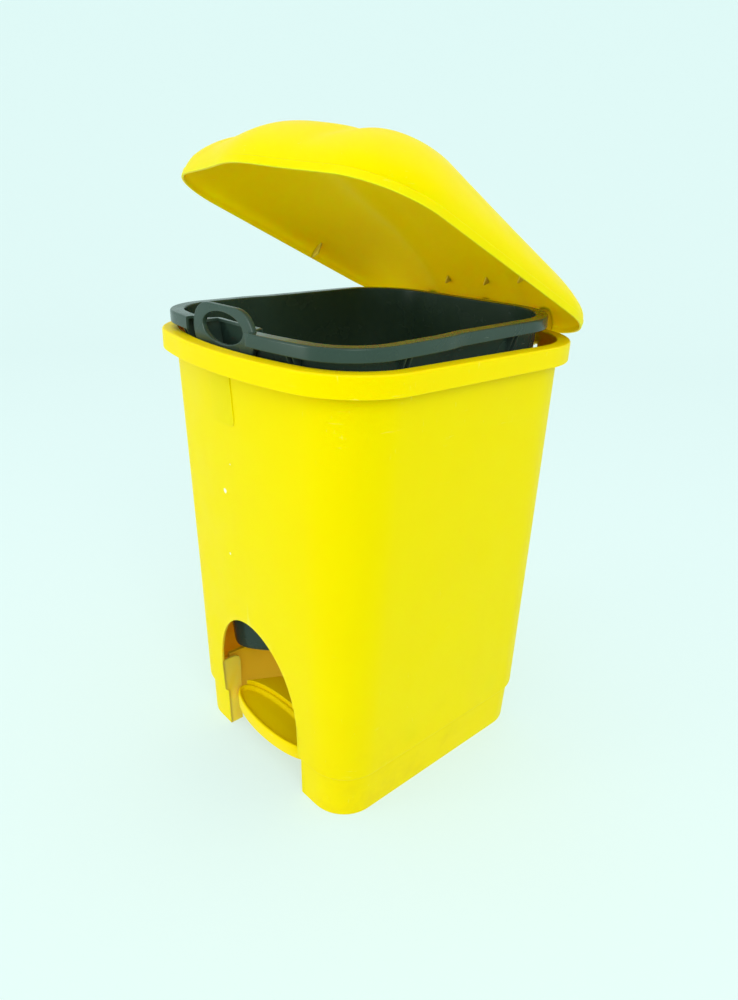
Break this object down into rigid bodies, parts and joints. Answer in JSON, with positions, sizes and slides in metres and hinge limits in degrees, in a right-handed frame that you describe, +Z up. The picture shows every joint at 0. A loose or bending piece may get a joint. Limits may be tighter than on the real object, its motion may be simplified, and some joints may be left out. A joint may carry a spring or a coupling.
{
  "type": "pedal bin",
  "caption": "Rectangular plastic pedal bin: tapered outer body with a front pedal arch, hinged domed lid, lift-out inner bucket with a finger loop, and a lid-lifting push rod.",
  "frame": {"origin": "centre of the bounding box on the floor, with the lid part open as it is stored", "axes": "+Z up, front (pedal side) towards -Y, right-hand side towards +X"},
  "size_m": [0.2906, 0.3427, 0.5882],
  "materials": {
    "yellow_plastic": "moulded polypropylene, satin gloss, fine moulding texture",
    "frame_plastic": "moulded polypropylene, matt",
    "bucket_plastic": "dark green-grey polypropylene, glossy",
    "rod_steel": "drawn zinc-plated wire",
    "screw_steel": "zinc plated"
  },
  "bodies": {
    "bin_body": {"outer_body": "yellow_plastic", "base_frame": "frame_plastic", "inner_bucket": "bucket_plastic", "pivot_cap_left": "frame_plastic", "pivot_cap_right": "frame_plastic", "pivot_cap_screw_left_front": "screw_steel", "pivot_cap_screw_left_rear": "screw_steel", "pivot_cap_screw_right_front": "screw_steel", "pivot_cap_screw_right_rear": "screw_steel", "base_screw_left_front": "screw_steel", "base_screw_left_rear": "screw_steel", "base_screw_right_front": "screw_steel", "base_screw_right_rear": "screw_steel", "pedal_pivot_pin": "rod_steel", "hinge_pin_left": "rod_steel", "hinge_pin_right": "rod_steel"},
    "lid": {"lid": "yellow_plastic"},
    "pedal": {"pedal": "yellow_plastic"},
    "push_rod": {"push_rod": "rod_steel", "rod_clip_upper": "rod_steel", "rod_clip_lower": "rod_steel"}
  },
  "joints": [
    {"name": "lid_hinge", "type": "hinge", "parent": "bin_body", "child": "lid", "pos_m": [0, 0.154, 0.416], "axis": [-1, 0, 0], "range_deg": [-22.5, 50]},
    {"name": "pedal_pivot", "type": "hinge", "parent": "bin_body", "child": "pedal", "pos_m": [0, 0.011, 0.04], "axis": [1, 0, 0], "range_deg": [-3.1, 6.7]},
    {"name": "push_rod_slide", "type": "slide", "parent": "bin_body", "child": "push_rod", "axis": [0, 0, 1], "range_m": [-0.0062, 0.0136]}
  ],
  "couplings": [
    {"joint": "pedal_pivot", "follows": "lid_hinge", "ratio": 0.1308},
    {"joint": "push_rod_slide", "follows": "lid_hinge", "m_per_rad": 0.0153}
  ]
}
